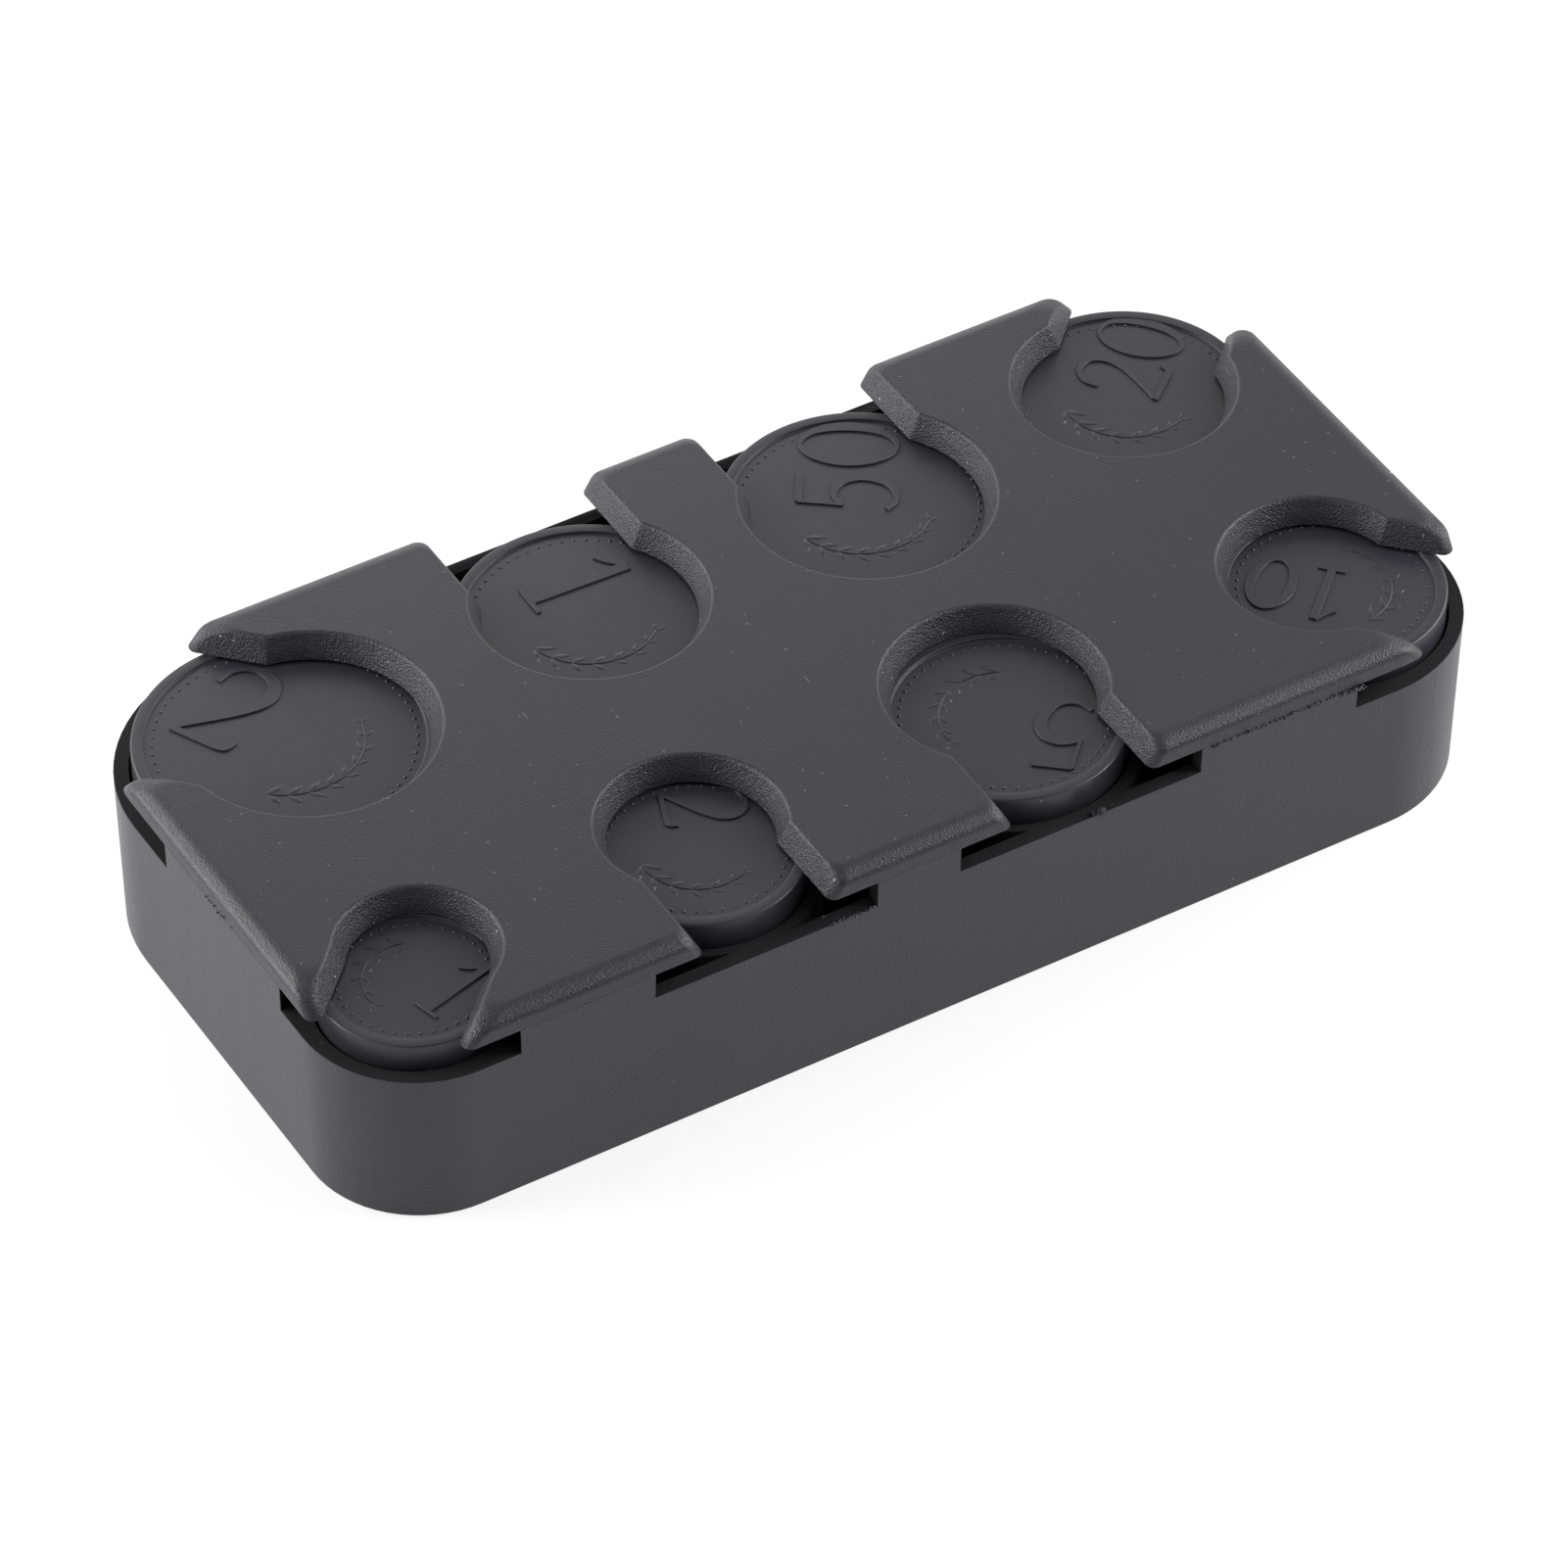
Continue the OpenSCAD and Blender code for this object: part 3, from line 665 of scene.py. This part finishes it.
def addStroke(bm, line, place, lower):
    closed = (line[0] - line[-1]).length < 1e-6
    if closed:
        line = line[:-1]
    count = len(line)
    tall, flare, soft = relief["tall"] * mm - lower, relief["flare"] * mm, relief["soft"] * mm
    rings = [(-relief["sunk"] * mm, flare), (tall - soft, 0.0), (tall, -soft)]
    table = []
    for k, (x, y, half) in enumerate(line):
        before = line[(k - 1) % count] if closed or k else line[0]
        after = line[(k + 1) % count] if closed or k < count - 1 else line[-1]
        way = Vector((after[0] - before[0], after[1] - before[1])).normalized()
        across = Vector((-way.y, way.x))
        half *= place["size"]
        spot = Vector((x, y)) * place["size"] - place["middle"]
        row = []
        for z, grow in rings:
            for sign in (1, -1):
                p = place["turn"] @ (spot + across * sign * (half + grow))
                row.append(bm.verts.new((p.x + place["centre"].x, p.y + place["centre"].y,
                                         place["face"] + z)))
        table.append(row)
    for k in range(count if closed else count - 1):
        a, b = table[k], table[(k + 1) % count]
        for near, far in ((0, 2), (2, 4), (4, 5), (5, 3), (3, 1)):
            bm.faces.new((a[near], b[near], b[far], a[far]))
    if not closed:
        for row in (table[0], table[-1]):
            bm.faces.new((row[0], row[2], row[4], row[5], row[3], row[1]))


def addNumeral(bm, coin, face):
    digits = coin["digits"]
    size = coin["tall"] * mm
    place = dict(size=size, face=face, turn=Matrix.Rotation(math.radians(coin["turn"]), 2),
                 centre=coin["centre"] + Vector(coin["place"]) * mm)
    width = relief["digitWide"] + relief["advance"] * (len(digits) - 1)
    for position, digit in enumerate(digits):
        place["middle"] = Vector((width / 2 - relief["advance"] * position, 0.5)) * size
        steps = 1 if digit == "0" else relief["curveSteps"]  # the nought is drawn point by point
        for order, points in enumerate(strokes[digit]):  # crossing strokes differ a little in height
            addStroke(bm, smoothLine(points, steps), place, order * relief["strokeStep"] * mm)


def makeSprigTree():
    tree, given = geometryTree("leafSprig", {
        "Radius": "Float", "Start": "Float", "Sweep": "Float", "Leaves": "Int", "Stem": "Float",
        "Centre": "Vector"})
    stalk = addNode(tree, "GeometryNodeCurveArc", {
        "Resolution": relief["stemPoints"], "Radius": given["Radius"], "Start Angle": given["Start"],
        "Sweep Angle": given["Sweep"]}, mode="RADIUS").outputs["Curve"]
    dots = addNode(tree, "GeometryNodeResampleCurve", {"Curve": stalk, "Count": given["Leaves"]})
    tangent = addNode(tree, "GeometryNodeInputTangent").outputs[0]
    split = addNode(tree, "ShaderNodeSeparateXYZ", {0: tangent}).outputs
    heading = mathNode(tree, "ARCTAN2", split["Y"], split["X"])
    along = addNode(tree, "GeometryNodeSplineParameter").outputs["Factor"]
    taper = minus(tree, 1.0, times(tree, along, relief["leafTaper"]))
    join = addNode(tree, "GeometryNodeJoinGeometry")
    for sign in (1, -1):  # one leaf to each side of the stem
        lean = sign * math.radians(relief["leafTurn"])
        turn = addNode(tree, "ShaderNodeCombineXYZ", {"Z": plus(tree, heading, lean)})
        leaves = addNode(tree, "GeometryNodeInstanceOnPoints", {
            "Points": dots.outputs["Curve"], "Instance": given["Geometry"], "Rotation": turn.outputs[0],
            "Scale": taper})
        setInput(tree, join.inputs[0], leaves.outputs[0])
    setInput(tree, join.inputs[0], sweepWire(tree, stalk, given["Stem"], relief["stemSides"]))
    endTree(tree, join.outputs[0], given, "Centre")
    return tree


def makeBeadTree():
    tree, given = geometryTree("beadRing", {
        "Radius": "Float", "Beads": "Int", "Bead radius": "Float", "Centre": "Vector"})
    ring = addNode(tree, "GeometryNodeMeshCircle", {"Vertices": given["Beads"], "Radius": given["Radius"]})
    ball = addNode(tree, "GeometryNodeMeshUVSphere", {
        "Segments": relief["beadSides"], "Rings": relief["beadRings"], "Radius": given["Bead radius"]})
    beads = addNode(tree, "GeometryNodeInstanceOnPoints", {
        "Points": ring.outputs["Mesh"], "Instance": ball.outputs["Mesh"],
        "Scale": (1.0, 1.0, relief["beadFlat"])})
    endTree(tree, beads.outputs[0], given, "Centre")
    return tree


def leafMesh():
    long, wide, tall = (relief[key] * mm for key in ("leafLong", "leafWide", "leafTall"))
    foot = -relief["sunk"] * mm
    steps = relief["leafSteps"]
    bm = bmesh.new()
    spine, left, right = [], [], []
    for k in range(steps + 1):
        t = k / steps
        half = wide / 2 * math.sin(math.pi * t ** relief["leafBelly"])  # widest before the middle
        ridge = relief["leafRidge"] + (1 - relief["leafRidge"]) * math.sin(math.pi * t)
        spine.append(bm.verts.new((long * t, 0, tall * ridge)))
        if 0 < k < steps:
            left.append(bm.verts.new((long * t, half, foot)))
            right.append(bm.verts.new((long * t, -half, foot)))
    for rim, order in ((left, 1), (right, -1)):
        bm.faces.new([spine[0], spine[1], rim[0]][::order])
        for k in range(len(rim) - 1):
            bm.faces.new([spine[k + 1], spine[k + 2], rim[k + 1], rim[k]][::order])
        bm.faces.new([spine[-2], spine[-1], rim[-1]][::order])
    return pourMesh(bm, bpy.data.meshes.new("leaf"))


sprigTree = makeSprigTree()
beadTree = makeBeadTree()
face = capHigh.z - cap["rimTall"] * mm
sweep = math.radians(relief["sprigSweep"])
for name, coin in coins.items():
    centre = (*coin["centre"], face)
    opposite = math.atan2(-coin["place"][1], -coin["place"][0])  # the sprig lies across from the numeral
    sprigRadius = coin["radius"] * relief["sprigAt"]
    beadCircle = coin["radius"] - (cap["rimWide"] + relief["beadInset"]) * mm
    leaves = max(relief["leastLeaves"], round(sprigRadius * sweep / (relief["leafGap"] * mm)))
    sprig = runTree(sprigTree, "sprig", leafMesh(), {
        "Radius": sprigRadius, "Start": opposite - sweep / 2, "Sweep": sweep, "Leaves": leaves,
        "Stem": relief["stemWide"] * mm / 2, "Centre": centre, "Material": capPlastic})
    beads = runTree(beadTree, "beads", bpy.data.meshes.new("none"), {
        "Radius": beadCircle, "Beads": round(fullTurn * beadCircle / (relief["beadGap"] * mm)),
        "Bead radius": relief["beadSize"] * mm / 2, "Centre": centre, "Material": capPlastic})
    bm = bmesh.new()
    bm.from_mesh(sprig)
    bm.from_mesh(beads)
    addNumeral(bm, coin, face)
    bmesh.ops.recalc_face_normals(bm, faces=bm.faces)
    mesh = pourMesh(bm, bpy.data.meshes.new("relief_" + name))
    piece = finishMesh("relief_" + name, mesh, capPlastic, relief["sharpAngle"])
    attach(piece, "plunger_" + name)
print("relief raised on the caps")

# flash: crumbs of plastic and glue along the seam and the exit slots
flash = {  # ends of each line in mm, then how many crumbs, their size, stray, mattness with its share of painted shade, and a seed
    "seamRight": dict(line=[(24.4, -27.54, 18.02), (39.6, -27.54, 18.02)],
                      crumbs=70, size=0.17, stray=0.1, mattAndShade=0.0, seed=5),
    "seamFlake": dict(line=[(37.6, -27.56, 17.95), (39.9, -27.56, 17.8)],
                      crumbs=16, size=0.3, stray=0.08, mattAndShade=0.0, seed=16),
    "seamLeft": dict(line=[(-56.0, 0.6, 18.3), (-56.0, -5.4, 18.3)],
                     crumbs=26, size=0.12, stray=0.16, mattAndShade=0.0, seed=27),
    "slotEdge": dict(line=[(-12.6, -27.5, 15.68), (-8.5, -27.5, 15.68)],
                     crumbs=44, size=0.2, stray=0.1, mattAndShade=0.0, seed=38),
    "sprueNub": dict(line=[(13.2, -27.35, 15.75), (13.9, -27.35, 15.75)],
                     crumbs=6, size=0.52, stray=0.16, mattAndShade=0.5, seed=49),
}
crumb = dict(least=0.2, turn=6.28, subdivisions=2, sharpAngle=60)  # least share of the size, any turn


def makeFlashTree():
    tree, given = geometryTree("mouldFlash", {
        "Crumbs": "Int", "Size": "Float", "Stray": "Float", "Seed": "Int"})

    def chance(low, high, step):
        return addNode(tree, "FunctionNodeRandomValue", {
            "Min": (low, low, low), "Max": (high, high, high),
            "Seed": plus(tree, given["Seed"], float(step))}, data_type="FLOAT_VECTOR").outputs["Value"]

    def scaled(vector, factor):
        return addNode(tree, "ShaderNodeVectorMath", {
            0: vector, "Scale": factor}, operation="SCALE").outputs[0]

    path = addNode(tree, "GeometryNodeMeshToCurve", {0: given["Geometry"]}).outputs[0]
    dots = addNode(tree, "GeometryNodeResampleCurve", {"Curve": path, "Count": given["Crumbs"]}).outputs[0]
    scatter = addNode(tree, "GeometryNodeSetPosition", {
        "Geometry": dots, "Offset": scaled(chance(-1, 1, 1), given["Stray"])})
    ball = addNode(tree, "GeometryNodeMeshIcoSphere", {"Subdivisions": crumb["subdivisions"], "Radius": 1.0})
    crumbs = addNode(tree, "GeometryNodeInstanceOnPoints", {
        "Points": scatter.outputs[0], "Instance": ball.outputs["Mesh"],
        "Rotation": chance(0, crumb["turn"], 2),
        "Scale": scaled(chance(crumb["least"], 1, 3), given["Size"])})
    endTree(tree, crumbs.outputs[0], given)
    return tree


flashTree = makeFlashTree()
for name, run in flash.items():
    line = lineMesh("flashLine", [tuple(value * mm for value in point) for point in run["line"]])
    mesh = runTree(flashTree, "flash_" + name, line, {
        "Crumbs": run["crumbs"], "Size": run["size"] * mm, "Stray": run["stray"] * mm, "Seed": run["seed"],
        "Material": trayPlastic})
    torn = mesh.attributes.new("inside", "FLOAT", "FACE")  # a torn stub is half as matt as the inside, and half as darkened by its painted shade
    torn.data.foreach_set("value", [run["mattAndShade"]] * len(mesh.polygons))
    piece = finishMesh("flash_" + name, mesh, trayPlastic, crumb["sharpAngle"])
    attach(piece, "case")
print("flash scattered")

# springs: close turns at both ends, open turns between
spring = dict(coil=4.2, wire=0.3, turns=6, closePitch=1.1, gap=0.03, points=260, sides=12,
              sharpAngle=60)  # mm and degrees


def makeSpringTree():
    tree, given = geometryTree("coilSpring", {
        "Coil radius": "Float", "Wire radius": "Float", "Turns": "Float", "Close pitch": "Float",
        "Open pitch": "Float", "Points": "Int", "Sides": "Int", "Start": "Vector"})
    line = addNode(tree, "GeometryNodeCurvePrimitiveLine").outputs["Curve"]
    dots = addNode(tree, "GeometryNodeResampleCurve", {"Curve": line, "Count": given["Points"]}).outputs[0]
    along = addNode(tree, "GeometryNodeSplineParameter").outputs["Factor"]
    done = times(tree, along, given["Turns"])
    first = mathNode(tree, "MINIMUM", done, 1.0)
    last = mathNode(tree, "MAXIMUM", minus(tree, done, minus(tree, given["Turns"], 1.0)), 0.0)
    middle = minus(tree, minus(tree, done, first), last)
    rise = plus(tree, times(tree, plus(tree, first, last), given["Close pitch"]),
                times(tree, middle, given["Open pitch"]))
    angle = times(tree, done, fullTurn)
    spot = addNode(tree, "ShaderNodeCombineXYZ", {
        "X": times(tree, mathNode(tree, "COSINE", angle), given["Coil radius"]),
        "Y": times(tree, mathNode(tree, "SINE", angle), given["Coil radius"]), "Z": rise})
    coil = addNode(tree, "GeometryNodeSetPosition", {"Geometry": dots, "Position": spot.outputs[0]})
    wire = sweepWire(tree, coil.outputs[0], given["Wire radius"], given["Sides"])
    endTree(tree, wire, given, "Start")
    return tree


springTree = makeSpringTree()
springLow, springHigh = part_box("spring_2_euro")
start = springLow.z + spring["wire"] * mm
rise = springHigh.z - springLow.z - 2 * spring["wire"] * mm
openPitch = (rise - 2 * spring["closePitch"] * mm) / (spring["turns"] - 2)
for name, coin in coins.items():
    mesh = runTree(springTree, "coil_" + name, bpy.data.meshes.new("none"), {
        "Coil radius": spring["coil"] * mm, "Wire radius": spring["wire"] * mm,
        "Turns": float(spring["turns"]), "Close pitch": spring["closePitch"] * mm, "Open pitch": openPitch,
        "Points": spring["points"], "Sides": spring["sides"], "Start": (*coin["centre"], start),
        "Material": springSteel})
    piece = finishMesh("coil_" + name, mesh, springSteel, spring["sharpAngle"])
    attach(piece, "case")
    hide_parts("spring_" + name)
    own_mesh(piece)
print("springs wound")

# camera as the photograph was taken: degrees, and mm from the object
shot = dict(lens=199.87, sensor=36, azimuth=-31.23, elevation=42.79, roll=0.30, distance=744.9, across=-0.345,
            upward=2.636, nearest=0.01, farthest=50)


def makeCamera():
    a, e, roll = (math.radians(shot[key]) for key in ("azimuth", "elevation", "roll"))
    back = Vector((math.sin(a) * math.cos(e), -math.cos(a) * math.cos(e), math.sin(e)))
    right = Vector((math.cos(a), math.sin(a), 0))
    up = back.cross(right)
    rightward = right * math.cos(roll) + up * math.sin(roll)
    upward = up * math.cos(roll) - right * math.sin(roll)
    spot = (back * shot["distance"] + rightward * shot["across"] + upward * shot["upward"]) * mm
    data = bpy.data.cameras.new("camera")
    data.lens = shot["lens"]
    data.sensor_width = shot["sensor"]
    data.clip_start = shot["nearest"]
    data.clip_end = shot["farthest"]
    camera = bpy.data.objects.new("camera", data)
    camera.matrix_world = Matrix((
        (rightward.x, upward.x, back.x, spot.x),
        (rightward.y, upward.y, back.y, spot.y),
        (rightward.z, upward.z, back.z, spot.z),
        (0, 0, 0, 1)))
    scene.collection.objects.link(camera)
    scene.camera = camera


makeCamera()
print("camera placed")

# studio: white floor, soft lamps, and dark cards on the camera's side and overhead
studio = dict(floorSize=12.0, floorDrop=0.02, floorGlow=0.72, floorShade=0.38, floorBounce=0.8,
              worldDiffuse=0.25, cardTone=0.115, cardRough=0.9)
cards = {  # corners in metres
    "frontCard": [(-1.05, -1.1, 0), (1.55, -1.1, 0), (1.55, -1.1, 1.6), (-1.05, -1.1, 1.6)],
    "ceilingCard": [(-1.0, -1.1, 1.9), (1.6, -1.1, 1.9), (1.6, 1.5, 1.9), (-1.0, 1.5, 1.9)],
}
lamps = {  # place in metres, size in metres, watts
    "lampTop": dict(at=(0.15, 0.1, 1.5), size=(1.1, 1.1), power=1.4),
    "lampLeft": dict(at=(-1.15, 1.0, 0.6), size=(1.5, 1.5), power=25.0),
    "lampRight": dict(at=(1.3, -0.2, 0.7), size=(1.4, 1.4), power=17.0),
    "lampLowLeft": dict(at=(-0.22, 0.1, 0.085), size=(0.12, 0.12), power=0.2),
    "lampLowRight": dict(at=(0.2, -0.1, 0.12), size=(0.12, 0.12), power=0.25),
    "lampFront": dict(at=(0.32, -0.42, 0.62), size=(0.4, 0.4), power=0.72),
    "lampBack": dict(at=(-0.015, 0.1, 0.055), size=(0.24, 0.05), power=0.052),
}


def grey(level):
    return (level, level, level, 1)


def pickForLens(tree, plain, seen, output):  # the camera and the gloss see white, all else the plain one
    path = addNode(tree, "ShaderNodeLightPath").outputs
    eye = mathNode(tree, "MAXIMUM", path["Is Camera Ray"], path["Is Glossy Ray"])
    eye = mathNode(tree, "MAXIMUM", eye, path["Is Transmission Ray"])
    pick = addNode(tree, "ShaderNodeMixShader", {0: eye, 1: plain.outputs[0], 2: seen.outputs[0]})
    addNode(tree, output, {0: pick.outputs[0]})


def addSheet(name, corners, material):
    mesh = bpy.data.meshes.new(name)
    mesh.from_pydata(corners, [], [(0, 1, 2, 3)])
    mesh.materials.append(material)
    sheet = bpy.data.objects.new(name, mesh)
    scene.collection.objects.link(sheet)
    return sheet


def makeFloor():
    material, tree = newMaterial("floorPaper")
    tree.nodes.clear()
    bounce = addNode(tree, "ShaderNodeBsdfDiffuse", {"Color": grey(studio["floorBounce"])})
    shade = addNode(tree, "ShaderNodeBsdfDiffuse", {"Color": grey(studio["floorShade"])})
    glow = addNode(tree, "ShaderNodeEmission", {"Strength": studio["floorGlow"]})
    white = addNode(tree, "ShaderNodeAddShader", {0: shade.outputs[0], 1: glow.outputs[0]})
    pickForLens(tree, bounce, white, "ShaderNodeOutputMaterial")
    half = studio["floorSize"] / 2
    low = -studio["floorDrop"] * mm  # clear of the tray's underside
    corners = [(x * half, y * half, low) for x, y in ((-1, -1), (1, -1), (1, 1), (-1, 1))]
    floor = addSheet("floor", corners, material)


def makeCards():
    material, tree = newMaterial("cardFelt")
    felt = tree.nodes["Principled BSDF"].inputs
    setInput(tree, felt["Base Color"], grey(studio["cardTone"]))
    setInput(tree, felt["Roughness"], studio["cardRough"])
    for name, corners in cards.items():
        card = addSheet(name, corners, material)
        card.visible_camera = False


def makeWorld():
    world = bpy.data.worlds.new("studioWorld")
    scene.world = world
    world.use_nodes = True
    tree = world.node_tree
    tree.nodes.clear()
    soft = addNode(tree, "ShaderNodeBackground", {"Color": grey(1), "Strength": studio["worldDiffuse"]})
    white = addNode(tree, "ShaderNodeBackground", {"Color": grey(1), "Strength": 1.0})
    pickForLens(tree, soft, white, "ShaderNodeOutputWorld")


def makeLamps():
    for name, lamp in lamps.items():
        data = bpy.data.lights.new(name, "AREA")
        data.shape = "RECTANGLE"
        data.size, data.size_y = lamp["size"]
        data.energy = lamp["power"]
        obj = bpy.data.objects.new(name, data)
        obj.location = lamp["at"]
        obj.rotation_euler = (-Vector(lamp["at"])).to_track_quat("-Z", "Y").to_euler()
        obj.visible_camera = False
        scene.collection.objects.link(obj)


makeFloor()
makeCards()
makeWorld()
makeLamps()
scene.view_settings.view_transform = "Standard"
print("studio lit")
